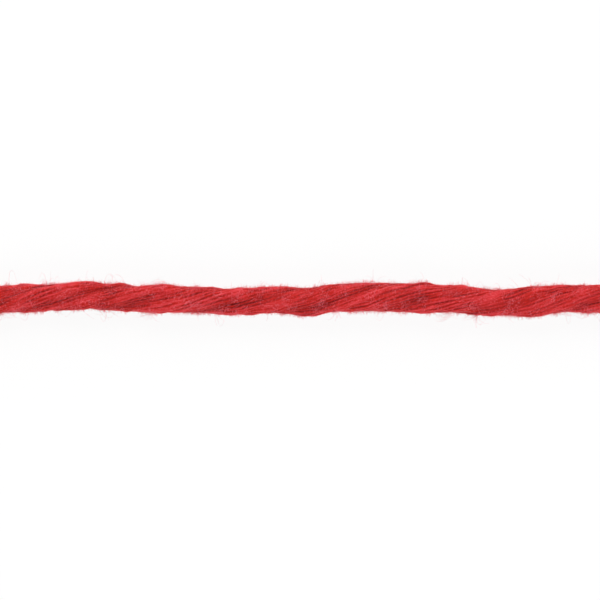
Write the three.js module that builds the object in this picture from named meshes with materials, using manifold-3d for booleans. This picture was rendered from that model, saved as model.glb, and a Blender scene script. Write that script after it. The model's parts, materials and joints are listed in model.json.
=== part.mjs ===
// Lead rope: a soft twisted rope with a swivel bolt snap crimped to one end.
// The rope lies straight for its plain run, and its spare length is folded into a strapped hank.
// Millimetres, +Z up, +X along the rope from the snap to the hank, underside at z = 0.
import * as THREE from 'three';
import { mergeVertices } from 'three/addons/utils/BufferGeometryUtils.js';
import Module from 'manifold-3d';

const wasm = await Module();
wasm.setup();

// Rope
const ropeDiameter = 18;
const ropeLength = 2000; // whole rope, with the eye loop and the whipped end
const plainRun = 429; // straight stretch between the clamp's mouth and the hank
const gap = 0.3; // left between pieces that touch

// Rope clamp: one metal band crimped round the two legs of the eye loop
const clampLength = 34;
const clampWall = 1.6;
const shortEndReach = 8; // cut end of the rope that stands out of the clamp
const loopReach = 26; // from the clamp to the bend round the swivel eye

// Swivel eye
const eyeWire = 5.5;
const eyeClearance = 1.3; // slack of the rope in the eye
const stemRadius = 2.6;
const flangeRadius = 5.4;
const flangeThickness = 2.4;
const stemClearance = 0.3;

// Snap body
const barrelLength = 39.5;
const barrelRadius = 6.5;
const boreRadius = 4;
const throatRadius = 11;
const hookWidth = 7;
const hookThickness = 8;
const hookCorner = 2.4;
const noseBeyondBarrel = 18; // from the barrel's mouth to the hook's tip
const hookRoot = [[0.48, 0.16], [0.68, 0.43], [0.9, 0.76]]; // shares of the barrel's length and the arch's height
const hookShoulder = [0.3, 0.95]; // the same past the barrel, as a share of noseBeyondBarrel

// Bolt, stud and spring
const boltRadius = 3.6;
const boltTravel = 13;
const studRadius = 2;
const studHeight = 5.5;
const studHeadRadius = 3.6;
const studHeadHeight = 3;
const studHeadTaper = 0.8;
const studSetback = 3; // from the barrel's mouth to the stud's edge
const springTurns = 5;
const springWire = 0.7;
const bushingLength = 3;
const headThickness = 2.6;
const seatThickness = 1.2;

// Hank and its strap
const foldRadius = 2 * ropeDiameter;
const waistLength = 80; // over which each side of the hank is drawn in to the strap
const squeeze = 0.5; // how much the strap narrows the rope's radius
const strapWidth = 20;
const strapThickness = 2;
const whippingLength = 30;
const whippingThickness = 0.7;
const tuftLength = 14;
const tipInset = 4; // from the hank's left fold to the tuft's end
const tuftSpread = 1.04; // of the cut yarns, beside the rope's radius

// What follows from them
const ropeRadius = ropeDiameter / 2;
const legSpacing = ropeDiameter + 2 * gap;
const clampInner = ropeRadius + gap;
const clampOuter = clampInner + clampWall;
const clampHeight = clampOuter;
const wireRadius = eyeWire / 2;
const bendRadius = ropeRadius + wireRadius + 1.5 * gap;
const eyeRadius = ropeRadius + eyeClearance + wireRadius;
const ringHeight = eyeRadius + wireRadius;
const clampMouth = 0;
const bendX = clampMouth - clampLength - loopReach;
const axisY = legSpacing / 2; // the loop, the clamp and the snap are centred between the loop's two legs

const flangeStart = eyeRadius + wireRadius * 0.5;
const flangeEnd = flangeStart + flangeThickness;
const barrelStart = flangeEnd + 2 * gap;
const barrelEnd = barrelStart + barrelLength;
const headStart = barrelStart + bushingLength + 2 * gap;
const headEnd = headStart + headThickness;
const seatStart = headEnd + 2 * gap;
const seatEnd = seatStart + seatThickness;
const hookRadius = throatRadius + hookWidth / 2;
const hookCentre = barrelEnd + noseBeyondBarrel;
const noseReach = hookCentre + hookRadius;
const boltTip = hookCentre - gap;
const springSolid = springTurns * springWire + springWire;
const boltRear = seatEnd + gap + springSolid + boltTravel;
const studPlace = barrelEnd - studRadius - studSetback;
const restTilt = Math.asin((ringHeight - hookThickness / 2 - gap / 2) / noseReach);

const hankStart = clampMouth + plainRun;
const foldLeft = hankStart + ropeRadius + foldRadius;
const waistRadius = ropeRadius - squeeze;
const waistDraw = (foldRadius - waistRadius) / 2;
const waistExtra = (waistDraw * Math.PI) ** 2 / (2 * waistLength);
const loopLength = shortEndReach + 2 * (clampLength + loopReach) + Math.PI * bendRadius;
const windLength = ropeLength - loopLength - (foldLeft - clampMouth) - 3 * Math.PI * foldRadius + tipInset;
const hankRun = windLength / 4 - waistExtra;
const foldRight = foldLeft + hankRun;
const waistX = (foldLeft + foldRight) / 2;
const hankY = foldRadius;
const hankHeight = 2 * ropeDiameter;

// Facets
const ropeSides = 12;
const runSteps = 24;
const loopSteps = 64;
const hookSteps = 48;
const bendSteps = 12; // in each half turn
const hankSideSteps = 40;

const finish = (name, color, roughness, metalness) =>
  new THREE.MeshStandardMaterial({ name, color, roughness, metalness });
const ropeFinish = () => finish('cotton_rope', 0xb83236, 0.95, 0);
const plateFinish = () => finish('nickel_plate', 0xb9b7b0, 0.28, 1);
const springFinish = () => finish('spring_steel', 0x8d8f92, 0.35, 1);
const twineFinish = () => finish('whipping_twine', 0xe9e2d2, 0.85, 0);
const strapFinish = () => finish('strap_webbing', 0x26282b, 0.9, 0);

// Extrusions are drawn in a plane across the rope: drawn x runs along Y, drawn y along Z, depth along X.
const acrossX = new THREE.Matrix4().makeBasis(
  new THREE.Vector3(0, 1, 0), new THREE.Vector3(0, 0, 1), new THREE.Vector3(1, 0, 0));

function toSolid(geometry) {
  const bare = geometry.clone();
  bare.deleteAttribute('normal');
  bare.deleteAttribute('uv');
  const merged = mergeVertices(bare, 1e-4);
  return new wasm.Manifold(new wasm.Mesh({
    numProp: 3,
    vertProperties: new Float32Array(merged.attributes.position.array),
    triVerts: new Uint32Array(merged.index.array),
  }));
}

function toGeometry(solid) {
  const mesh = solid.getMesh();
  const geometry = new THREE.BufferGeometry();
  geometry.setAttribute('position', new THREE.BufferAttribute(mesh.vertProperties, 3));
  geometry.setIndex(new THREE.BufferAttribute(mesh.triVerts, 1));
  return geometry;
}

const join = (...parts) => parts.map(toSolid).reduce((all, part) => all.add(part));
const cut = (solid, ...tools) => tools.map(toSolid).reduce((all, tool) => all.subtract(tool), solid);

function piece(name, geometry, material) {
  const mesh = new THREE.Mesh(geometry, material);
  mesh.name = name;
  return mesh;
}

// A round bar along X, between two places.
function bar(radius, from, to, sides = 24) {
  const geometry = new THREE.CylinderGeometry(radius, radius, to - from, sides);
  return geometry.rotateZ(Math.PI / 2).translate((from + to) / 2, 0, 0);
}

function block(low, high) {
  const size = high.map((value, i) => value - low[i]);
  const middle = high.map((value, i) => (value + low[i]) / 2);
  return new THREE.BoxGeometry(...size).translate(...middle);
}

function circleShape(radius, sides) {
  const points = [];
  for (let i = 0; i < sides; i++) {
    const angle = (i * 2 * Math.PI) / sides;
    points.push(new THREE.Vector2(radius * Math.cos(angle), radius * Math.sin(angle)));
  }
  return new THREE.Shape(points);
}

function roundedShape(halfWidth, halfHeight, corner, steps = 3) {
  const points = [];
  const centres = [[1, 1], [-1, 1], [-1, -1], [1, -1]];
  centres.forEach(([sideX, sideY], quarter) => {
    for (let i = 0; i <= steps; i++) {
      const angle = (quarter + i / steps) * (Math.PI / 2);
      points.push(new THREE.Vector2(
        sideX * (halfWidth - corner) + corner * Math.cos(angle),
        sideY * (halfHeight - corner) + corner * Math.sin(angle)));
    }
  });
  return new THREE.Shape(points);
}

function sweep(shape, curve, steps) {
  return new THREE.ExtrudeGeometry(shape, { steps, extrudePath: curve, curveSegments: 1 });
}

// A flat-sided sleeve along X: an outer outline with the inner one as its hole.
function sleeve(outer, inner, from, to) {
  outer.holes.push(inner);
  const geometry = new THREE.ExtrudeGeometry(outer, { depth: to - from, bevelEnabled: false });
  return geometry.applyMatrix4(acrossX).translate(from, 0, 0);
}

// What is left of a solid between two planes across X.
function betweenPlanes(solid, from, to) {
  const far = 4 * foldRadius;
  return solid.intersect(toSolid(block([from, -far, -far], [to, far, far])));
}

// Rope's plain run. The points are its resting line, from the clamp's mouth to the hank.
function ropeRun() {
  const line = [
    [-9, 0, clampHeight], [0, 0, clampHeight], [12, 0.2, clampHeight], [29, 0, 9.4], [46, 1.2, 9],
    [71, 2.6, 9], [100, 2.0, 9], [140, 0.4, 9], [183, -0.6, 9], [222, -0.3, 9], [260, 1.2, 9],
    [289, 1.9, 9], [318, 0.5, 9], [344, -1.0, 9], [376, -0.6, 9], [408, 1.6, 9],
  ].filter(([x]) => x < plainRun - ropeRadius)
    .map(([x, y, z]) => new THREE.Vector3(clampMouth + x, y, Math.max(z, ropeRadius)));
  line.push(new THREE.Vector3(hankStart + ropeRadius, 0, ropeRadius));
  const curve = new THREE.CatmullRomCurve3(line, false, 'centripetal');
  const rope = toSolid(sweep(circleShape(ropeRadius, ropeSides), curve, runSteps));
  return piece('rope_run', toGeometry(betweenPlanes(rope, clampMouth, hankStart - gap)), ropeFinish());
}

// The rope's short end goes through the clamp, round the wire of the swivel eye and back.
function ropeEyeLoop() {
  const far = axisY + legSpacing / 2;
  const near = axisY - legSpacing / 2;
  const legs = [
    [clampMouth + shortEndReach, clampHeight], [clampMouth - clampLength / 2, clampHeight],
    [clampMouth - clampLength, clampHeight],
  ];
  const line = legs.map(([x, z]) => new THREE.Vector3(x, far, z));
  for (let i = 0; i <= bendSteps; i++) {
    const angle = Math.PI / 2 + (i * Math.PI) / bendSteps;
    line.push(new THREE.Vector3(
      bendX + bendRadius * Math.cos(angle), axisY + bendRadius * Math.sin(angle), ringHeight));
  }
  legs.reverse().slice(0, 2).forEach(([x, z]) => line.push(new THREE.Vector3(x, near, z)));
  line.push(new THREE.Vector3(clampMouth - gap, near, clampHeight));
  const curve = new THREE.CatmullRomCurve3(line, false, 'centripetal');
  return piece('rope_eye_loop', sweep(circleShape(ropeRadius, ropeSides), curve, loopSteps), ropeFinish());
}

function ropeClamp() {
  const straight = legSpacing / 2;
  const outer = roundedShape(straight + clampOuter, clampOuter, clampOuter, 8);
  const inner = roundedShape(straight + clampInner, clampInner, clampInner, 8);
  const geometry = sleeve(outer, inner, clampMouth - clampLength, clampMouth - 2 * gap);
  return piece('rope_clamp', geometry.translate(0, axisY, clampHeight), plateFinish());
}

// Ring, flange, stem and the head peened inside the barrel are one piece of metal.
function swivelEye() {
  const ring = new THREE.TorusGeometry(eyeRadius, wireRadius, 12, 40).rotateX(Math.PI / 2);
  const flange = bar(flangeRadius, flangeStart, flangeEnd);
  const stem = bar(stemRadius, flangeStart, headEnd - gap);
  const head = bar(boreRadius - gap, headStart, headEnd);
  return piece('swivel_eye', toGeometry(join(ring, flange, stem, head)), plateFinish());
}

function swivelBushing() {
  const outer = bar(boreRadius - gap, barrelStart, barrelStart + bushingLength);
  const hole = bar(stemRadius + stemClearance, barrelStart - 1, barrelStart + bushingLength + 1);
  return piece('swivel_bushing', toGeometry(cut(toSolid(outer), hole)), plateFinish());
}

function springSeat() {
  return piece('spring_seat', bar(boreRadius - gap, seatStart, seatEnd), springFinish());
}

// The hook leaves the barrel's side, bows out round the throat and comes back to the barrel's axis.
function hookCurve() {
  const top = 2 * hookRadius;
  const line = hookRoot.map(
    ([along, out]) => new THREE.Vector3(barrelStart + along * barrelLength, out * top, 0));
  line.push(new THREE.Vector3(barrelEnd + hookShoulder[0] * noseBeyondBarrel, hookShoulder[1] * top, 0));
  for (let i = 0; i <= bendSteps; i++) {
    const angle = Math.PI / 2 - (i * Math.PI) / bendSteps;
    line.push(new THREE.Vector3(
      hookCentre + hookRadius * Math.cos(angle), hookRadius + hookRadius * Math.sin(angle), 0));
  }
  line.push(new THREE.Vector3(hookCentre - hookWidth / 4, 0, 0)); // cut off flat at the tip
  return new THREE.CatmullRomCurve3(line, false, 'centripetal');
}

function snapBody() {
  const section = roundedShape(hookThickness / 2, hookWidth / 2, hookCorner);
  const tipSide = hookThickness;
  const tipFace = block([barrelEnd, -tipSide, -tipSide], [hookCentre, tipSide, tipSide]);
  const hook = toGeometry(cut(toSolid(sweep(section, hookCurve(), hookSteps)), tipFace));
  const barrel = bar(barrelRadius, barrelStart, barrelEnd, 32);
  const bore = bar(boreRadius, barrelStart - 1, barrelEnd + noseBeyondBarrel / 2);
  const slotHalf = studRadius + gap;
  const slot = block(
    [studPlace - boltTravel - slotHalf, -barrelRadius - 1, -slotHalf],
    [studPlace + slotHalf, 0, slotHalf]);
  return piece('snap_body', toGeometry(cut(join(barrel, hook), bore, slot)), plateFinish());
}

function snapBolt() {
  return piece('snap_bolt', bar(boltRadius, boltRear, boltTip), plateFinish());
}

function thumbStud() {
  const shank = new THREE.CylinderGeometry(studRadius, studRadius, barrelRadius + studHeight - boltRadius, 16);
  shank.translate(studPlace, -(boltRadius + gap + barrelRadius + studHeight) / 2, 0);
  const cap = new THREE.CylinderGeometry(studHeadRadius, studHeadRadius * studHeadTaper, studHeadHeight, 20);
  cap.translate(studPlace, -(barrelRadius + studHeight), 0);
  return piece('thumb_stud', toGeometry(join(shank, cap)), plateFinish());
}

class Helix extends THREE.Curve {
  getPoint(t, target = new THREE.Vector3()) {
    const angle = t * springTurns * 2 * Math.PI;
    const radius = boreRadius - gap - springWire / 2;
    const from = seatEnd + gap + springWire / 2;
    const along = from + t * (boltRear - gap - springWire / 2 - from);
    return target.set(along, radius * Math.cos(angle), radius * Math.sin(angle));
  }
}

function boltSpring() {
  return piece('bolt_spring', sweep(circleShape(springWire / 2, 6), new Helix(), springTurns * 14), springFinish());
}

// Distance from the hank's middle line to the middle of the rope along its sides.
function hankSide(x) {
  const pastStrap = Math.max(0, Math.abs(x - waistX) - strapWidth / 2);
  if (pastStrap > waistLength) return foldRadius;
  return waistRadius + waistDraw * (1 - Math.cos((Math.PI * pastStrap) / waistLength));
}

function hankOutline() {
  const points = [];
  const outer = foldRadius + ropeRadius;
  points.push(new THREE.Vector2(hankStart, -outer));
  for (let i = 0; i <= hankSideSteps; i++) {
    const x = foldLeft + (i * hankRun) / hankSideSteps;
    points.push(new THREE.Vector2(x, -hankSide(x) - ropeRadius));
  }
  for (let i = 1; i < bendSteps; i++) {
    const angle = -Math.PI / 2 + (i * Math.PI) / bendSteps;
    points.push(new THREE.Vector2(foldRight + outer * Math.cos(angle), outer * Math.sin(angle)));
  }
  for (let i = hankSideSteps; i >= 0; i--) {
    const x = foldLeft + (i * hankRun) / hankSideSteps;
    points.push(new THREE.Vector2(x, hankSide(x) + ropeRadius));
  }
  const inner = foldRadius - ropeRadius; // the run comes in below this, along the near side
  const last = Math.PI + Math.asin(inner / outer);
  for (let i = 1; i <= bendSteps; i++) {
    const angle = Math.PI / 2 + (i * (last - Math.PI / 2)) / bendSteps;
    points.push(new THREE.Vector2(foldLeft + outer * Math.cos(angle), outer * Math.sin(angle)));
  }
  points.push(new THREE.Vector2(hankStart, -inner));
  return new THREE.Shape(points);
}

const tipStart = foldLeft - tipInset + tuftLength + whippingLength;
const tipHeight = hankHeight - ropeRadius + whippingThickness + gap;

// The spare rope: two turns laid one on the other. A groove below takes the strap,
// and the upper layer stops short on the far side, where the whipped end lies.
function ropeHank() {
  const body = new THREE.ExtrudeGeometry(hankOutline(), { depth: hankHeight, bevelEnabled: false });
  const wide = 2 * foldRadius;
  const groove = block(
    [waistX - strapWidth / 2 - gap, -wide, -1], [waistX + strapWidth / 2 + gap, wide, strapThickness + gap]);
  const bed = block(
    [foldLeft - tipInset - gap, foldRadius - ropeRadius - whippingThickness - gap, ropeDiameter + gap / 2],
    [tipStart + gap, wide, hankHeight + 1]);
  const solid = cut(toSolid(body), groove, bed);
  return piece('rope_hank', toGeometry(solid).translate(0, hankY, 0), ropeFinish());
}

// The rope's end inside its whipping, and the cut yarns that fan out a little past it.
function ropeTail() {
  const inside = ropeRadius - gap;
  const profile = [
    [0, 0], [inside * 0.98, 0], [inside * tuftSpread, tuftLength * 0.4], [inside, tuftLength],
    [inside - gap, tuftLength + gap], [inside - gap, tuftLength + whippingLength], [0, tuftLength + whippingLength],
  ].map(([radius, along]) => new THREE.Vector2(radius, along));
  const geometry = new THREE.LatheGeometry(profile, 16).rotateZ(-Math.PI / 2);
  geometry.translate(foldLeft - tipInset, hankY + foldRadius, tipHeight);
  return piece('rope_tail', geometry, ropeFinish());
}

function endWhipping() {
  const outer = circleShape(ropeRadius + whippingThickness - gap, 24);
  const inner = circleShape(ropeRadius - gap, 24);
  const geometry = sleeve(outer, inner, tipStart - whippingLength + 2 * gap, tipStart);
  return piece('end_whipping', geometry.translate(0, hankY + foldRadius, tipHeight), twineFinish());
}

function hankTie() {
  const innerHalf = waistRadius + ropeRadius + gap;
  const innerHeight = (hankHeight + gap - strapThickness) / 2;
  const outer = roundedShape(innerHalf + strapThickness, innerHeight + strapThickness, strapThickness + gap, 4);
  const inner = roundedShape(innerHalf, innerHeight, gap, 1);
  const geometry = sleeve(outer, inner, waistX - strapWidth / 2, waistX + strapWidth / 2);
  return piece('hank_tie', geometry.translate(0, hankY, innerHeight + strapThickness), strapFinish());
}

// The snap is drawn with its nose along +X and its hook towards +Y. It is turned over and to point
// away from the rope, and tilts about its eye, which stands on edge, until its nose is on the ground.
const snap = new THREE.Group();
snap.add(swivelEye(), swivelBushing(), springSeat(), snapBody(), snapBolt(), thumbStud(), boltSpring());
snap.rotation.x = Math.PI;

const tilted = new THREE.Group();
tilted.add(snap);
tilted.rotation.y = restTilt;

const fitting = new THREE.Group();
fitting.add(tilted);
fitting.rotation.z = Math.PI;
fitting.position.set(bendX - eyeRadius, axisY, ringHeight);

const leadRope = new THREE.Group();
leadRope.add(
  fitting, ropeEyeLoop(), ropeClamp(), ropeRun(), ropeHank(), ropeTail(), endWhipping(), hankTie());

// The origin is under the middle of the whole.
leadRope.updateMatrixWorld(true);
const bounds = new THREE.Box3().setFromObject(leadRope, true);
const middle = bounds.getCenter(new THREE.Vector3());
leadRope.position.set(-middle.x, -middle.y, 0);

export default leadRope;
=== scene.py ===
import json
import math

import bpy
import numpy as np
from mathutils import Matrix, Vector


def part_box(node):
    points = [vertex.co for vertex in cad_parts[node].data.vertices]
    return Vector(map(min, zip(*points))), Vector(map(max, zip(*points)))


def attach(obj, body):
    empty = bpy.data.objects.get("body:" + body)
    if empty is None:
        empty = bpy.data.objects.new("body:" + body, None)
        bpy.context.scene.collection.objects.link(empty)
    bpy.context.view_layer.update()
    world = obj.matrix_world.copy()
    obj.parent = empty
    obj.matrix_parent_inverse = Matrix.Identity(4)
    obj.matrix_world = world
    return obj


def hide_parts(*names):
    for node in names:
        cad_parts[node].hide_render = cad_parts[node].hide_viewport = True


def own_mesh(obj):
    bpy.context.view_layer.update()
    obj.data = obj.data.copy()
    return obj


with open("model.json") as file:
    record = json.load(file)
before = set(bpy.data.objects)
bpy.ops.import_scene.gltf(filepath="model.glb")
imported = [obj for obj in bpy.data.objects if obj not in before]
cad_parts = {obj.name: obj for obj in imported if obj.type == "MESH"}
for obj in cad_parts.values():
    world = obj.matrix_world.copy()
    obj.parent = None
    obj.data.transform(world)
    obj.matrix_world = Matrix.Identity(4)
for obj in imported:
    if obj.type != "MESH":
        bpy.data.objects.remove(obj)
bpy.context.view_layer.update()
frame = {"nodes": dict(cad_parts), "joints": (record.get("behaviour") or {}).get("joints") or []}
print("frame loaded")


cameraValues = {
    "viewWidth": 0.3858,  # of the floor plane through the rope's middle
    "lens": 100.0,
    "sensor": 36.0,
    "alongRun": 0.222,  # from the clamp's mouth to the middle of the view
    "acrossRun": 0.00015,
}

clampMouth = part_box("rope_run")[0][0]
ropeRadius = 0.009
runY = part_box("rope_hank")[0][1] + ropeRadius


def lookDown(v):
    data = bpy.data.cameras.new("camera")
    data.lens = v["lens"]
    data.sensor_width = v["sensor"]
    camera = bpy.data.objects.new("camera", data)
    away = v["viewWidth"] * v["lens"] / v["sensor"]
    camera.location = (clampMouth + v["alongRun"], runY + v["acrossRun"], ropeRadius + away)
    bpy.context.collection.objects.link(camera)
    bpy.context.scene.camera = camera


lookDown(cameraValues)
bpy.context.scene.view_settings.view_transform = "Standard"
print("camera set")


def toLinear(hexColour):
    channels = [int(hexColour[i:i + 2], 16) / 255 for i in (1, 3, 5)]
    return [c / 12.92 if c <= 0.04045 else ((c + 0.055) / 1.055) ** 2.4 for c in channels] + [1.0]


def setInputs(tree, node, values=None, links=None):
    # a link comes from a socket, or from a node's first output
    for socket, value in (values or {}).items():
        node.inputs[socket].default_value = value
    for socket, source in (links or {}).items():
        source = source.outputs[0] if isinstance(source, bpy.types.Node) else source
        tree.links.new(source, node.inputs[socket])


def addNode(tree, kind, settings=None, values=None, links=None, stops=()):
    node = tree.nodes.new("ShaderNode" + kind)
    for name, value in (settings or {}).items():
        setattr(node, name, value)
    for index, (place, hexColour) in enumerate(stops):  # of a colour ramp, which starts with two
        stop = node.color_ramp.elements[index] if index < 2 else node.color_ramp.elements.new(place)
        stop.position = place
        stop.color = toLinear(hexColour)
    setInputs(tree, node, values, links)
    return node


def newMaterial(name, place=None):
    # its patterns follow the attribute named place, or the object's own coordinates
    material = bpy.data.materials.new(name)
    material.use_nodes = True
    tree = material.node_tree
    if place:
        at = addNode(tree, "Attribute", {"attribute_name": place}).outputs["Vector"]
    else:
        at = addNode(tree, "TexCoord").outputs["Object"]
    return material, tree, tree.nodes["Principled BSDF"], at


def meshPiece(name, points, faces, material):
    mesh = bpy.data.meshes.new(name)
    mesh.from_pydata(points, [], faces)
    mesh.polygons.foreach_set("use_smooth", [True] * len(mesh.polygons))
    mesh.materials.append(material)
    mesh.update()
    piece = bpy.data.objects.new(name, mesh)
    bpy.context.collection.objects.link(piece)
    return piece


def setAttribute(piece, name, kind, values):
    attribute = piece.data.attributes.new(name, kind, "POINT")
    attribute.data.foreach_set("value" if kind == "FLOAT" else "vector", np.ravel(values))


def ringFaces(rings, count, closed=False):
    # between rings of count points, with both ends filled unless the last ring joins the first
    faces = []
    for i in range(rings if closed else rings - 1):
        n = (i + 1) % rings
        for j in range(count):
            k = (j + 1) % count
            faces.append((i * count + j, i * count + k, n * count + k, n * count + j))
    if not closed:
        faces.append(tuple(reversed(range(count))))
        faces.append(tuple(range((rings - 1) * count, rings * count)))
    return faces


def declare(piece, body, slotName, *nodes):
    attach(piece, body)
    if nodes:
        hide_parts(*nodes)
    return piece


def smoothStep(t):
    t = np.clip(t, 0, 1)
    return t * t * (3 - 2 * t)


route = {
    "diameter": 0.018,
    "plainRun": 0.429,
    "clampLength": 0.034,
    "legSpacing": 0.0186,
    "clampHeight": 0.0109,
    "loopReach": 0.026,
    "bendRadius": 0.0122,
    "bendHeight": 0.0158,
    "shortEnd": 0.008,
    "foldRadius": 0.036,
    "waistLength": 0.080,
    "strapWidth": 0.020,
    "strapThickness": 0.0023,
    "squeeze": 0.0005,
    "tipInset": 0.004,
    "tuftLength": 0.014,
    "whippingLength": 0.030,
    "tipHeight": 0.028,
    "mouthInset": 0.012,  # the cord's length is counted from this far inside the clamp
}

# The plain run's resting line, from the clamp's mouth: along, across, height
runLine = [
    (0, 0, 0.0109), (0.012, 0.0002, 0.0109), (0.029, 0, 0.0094), (0.046, 0.0012, 0.009),
    (0.071, 0.0026, 0.009), (0.100, 0.0020, 0.009), (0.140, 0.0004, 0.009), (0.183, -0.0006, 0.009),
    (0.222, -0.0003, 0.009), (0.260, 0.0012, 0.009), (0.289, 0.0019, 0.009), (0.318, 0.0005, 0.009),
    (0.344, -0.0010, 0.009), (0.376, -0.0006, 0.009), (0.408, 0.0016, 0.009), (0.438, 0, 0.009),
]

foldLeft = clampMouth + route["plainRun"] + ropeRadius + route["foldRadius"]
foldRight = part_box("rope_hank")[1][0] - ropeRadius - route["foldRadius"]
waistX = (foldLeft + foldRight) / 2
hankY = runY + route["foldRadius"]
tipEnd = foldLeft - route["tipInset"] + route["tuftLength"]  # where the whipping and the laid rope end


def loopLine(v):
    middle = runY + v["legSpacing"] / 2
    far = runY + v["legSpacing"]
    bendX = clampMouth - v["clampLength"] - v["loopReach"]
    line = [
        (clampMouth + v["shortEnd"], far, v["clampHeight"]),
        (clampMouth - v["clampLength"] / 2, far, v["clampHeight"]),
        (clampMouth - v["clampLength"], far, v["clampHeight"]),
    ]
    for angle in np.linspace(math.pi / 2, 3 * math.pi / 2, 13):
        x = bendX + v["bendRadius"] * math.cos(angle)
        line.append((x, middle + v["bendRadius"] * math.sin(angle), v["bendHeight"]))
    line.append((clampMouth - v["clampLength"], runY, v["clampHeight"]))
    line.append((clampMouth - v["clampLength"] / 2, runY, v["clampHeight"]))
    return line


def hankSide(x):
    past = max(0.0, abs(x - waistX) - route["strapWidth"] / 2)
    waist = ropeRadius - route["squeeze"]
    if past > route["waistLength"]:
        return route["foldRadius"]
    share = 0.5 - 0.5 * math.cos(math.pi * past / route["waistLength"])
    return waist + (route["foldRadius"] - waist) * share


def layerHeight(layer, x):
    narrow = ropeRadius - route["squeeze"]
    low, high = route["strapThickness"] + narrow, 4 * ropeRadius - narrow
    past = (abs(x - waistX) - route["strapWidth"] / 2) / route["waistLength"]
    tied = 1 - smoothStep(past * 1.6)
    return (1 + 2 * layer) * ropeRadius * (1 - tied) + (high if layer else low) * tied


def hankLine(v):
    line = []
    fold = v["foldRadius"]
    for layer in (0, 1):
        level = (1 + 2 * layer) * ropeRadius
        for x in np.linspace(foldLeft, foldRight, 27):
            line.append((x, hankY - hankSide(x), layerHeight(layer, x)))
        for angle in np.linspace(-math.pi / 2, math.pi / 2, 13)[1:-1]:
            line.append((foldRight + fold * math.cos(angle), hankY + fold * math.sin(angle), level))
        last = foldLeft if layer == 0 else tipEnd
        for x in np.linspace(foldRight, last, 27):
            rise = 0.0
            if layer:  # the whipping is thicker than the rope and lifts it
                rise = (v["tipHeight"] - level) * float(smoothStep(1 - (x - tipEnd - 0.03) / 0.04))
            line.append((x, hankY + hankSide(x), layerHeight(layer, x) + rise))
        if layer == 0:  # over the incoming rope and up to the second layer
            for angle in np.linspace(math.pi / 2, 3 * math.pi / 2, 15)[1:-1]:
                climb = smoothStep((math.degrees(angle) - 90) / 150)
                line.append((
                    foldLeft + fold * math.cos(angle), hankY + fold * math.sin(angle),
                    level + 2 * ropeRadius * float(climb)))
    return line


def partWay(t, a, b, low, high):
    return (b - t) / (b - a) * low + (t - a) / (b - a) * high


def throughPoints(points, each=8):
    p = np.array(points, float)
    p = np.vstack([2 * p[0] - p[1], p, 2 * p[-1] - p[-2]])
    knots = np.concatenate([[0], np.cumsum(np.sqrt(np.linalg.norm(np.diff(p, axis=0), axis=1)))])
    fine = []
    for i in range(1, len(p) - 2):
        t0, t1, t2, t3 = knots[i - 1:i + 3]
        for t in np.linspace(t1, t2, each, endpoint=False):
            a1 = partWay(t, t0, t1, p[i - 1], p[i])
            a2 = partWay(t, t1, t2, p[i], p[i + 1])
            a3 = partWay(t, t2, t3, p[i + 1], p[i + 2])
            b1 = partWay(t, t0, t2, a1, a2)
            b2 = partWay(t, t1, t3, a2, a3)
            fine.append(partWay(t, t1, t2, b1, b2))
    fine.append(p[-2])
    return np.array(fine)


def placesAlong(line):
    return np.concatenate([[0], np.cumsum(np.linalg.norm(np.diff(line, axis=0), axis=1))])


def pointsAt(wanted, along, line):
    return np.stack([np.interp(wanted, along, line[:, k]) for k in range(3)], axis=-1)


wholeLine = throughPoints(
    loopLine(route) + [(clampMouth + a, runY + b, c) for a, b, c in runLine] + hankLine(route))
wholePlaces = placesAlong(wholeLine)
insideClamp = [clampMouth - route["mouthInset"], runY, route["clampHeight"]]
loopEnd = wholePlaces[np.argmin(np.linalg.norm(wholeLine - insideClamp, axis=1))]


def wayAlongX(place):
    # how far along X the rope is at a place along itself
    return np.interp(place, wholePlaces, wholeLine[:, 0])


lay = {
    "layLength": 0.172,  # one full turn of the strands
    "strands": 3,
    "crown": 0.00033,  # on top of a strand the rope is this much thicker than its nominal radius
    "lobeDepth": 0.0009,
    "grooveDepth": 0.0011,
    "yarns": 24,
    "yarnHeight": 0.00050,
    # unevenness: how much, the seed of its noise, the length of a swelling, how many go round
    "wander": (0.16, 11, 0.045, 7),
    "waver": (0.05, 12, 0.012, 13),
    "drift": (0.22, 13, 0.06, 3),
    "grooveChange": (0.45, 14, 0.035, 4),
    "gapChange": (0.75, 15, 0.016, 22),
    "bumps": (0.00095, 16, 0.026, 5),  # the soft yarn swells slowly, quicker and quickest
    "swellings": (0.0009, 19, 0.012, 7),
    "lumps": (0.00055, 17, 0.0045, 26),
    # darker in patches about 12 mm long, added to the painted shade mask
    "patchyDarkening": (0.15, 18, 0.012, 16),
    # pressed narrower: the radius there, and the length in which the rope fills out again
    "strapped": (0.0084, 0.018),
    "clamped": (0.0089, 0.008),
    "whipped": (0.0081, 0.006),
    "bent": (0.0088, 0.014),  # round the swivel eye
    "keepsShape": 0.25,  # how much of its surface a pressed stretch keeps
    "around": 120,
    "seenRun": (0.018, 0.428),  # past the clamp's mouth, in finer steps
    "seenStep": 0.0015,
    "hiddenStep": 0.0029,
}


def softNoise(places, angles, seed, cell, cellsAround):
    # smooth noise over the rope's surface, closed round it: places in metres, angles in radians
    size = (int(wholePlaces[-1] / cell) + 4, cellsAround)
    grid = np.random.default_rng(seed).uniform(-1, 1, size)
    a = places / cell + 1
    b = (angles / math.tau * cellsAround) % cellsAround
    i, j = np.floor(a).astype(int), np.floor(b).astype(int) % cellsAround
    u, w = smoothStep(a - np.floor(a)), smoothStep(b - np.floor(b))
    k = (j + 1) % cellsAround
    low = grid[i, j] * (1 - w) + grid[i, k] * w
    high = grid[i + 1, j] * (1 - w) + grid[i + 1, k] * w
    return low * (1 - u) + high * u


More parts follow.
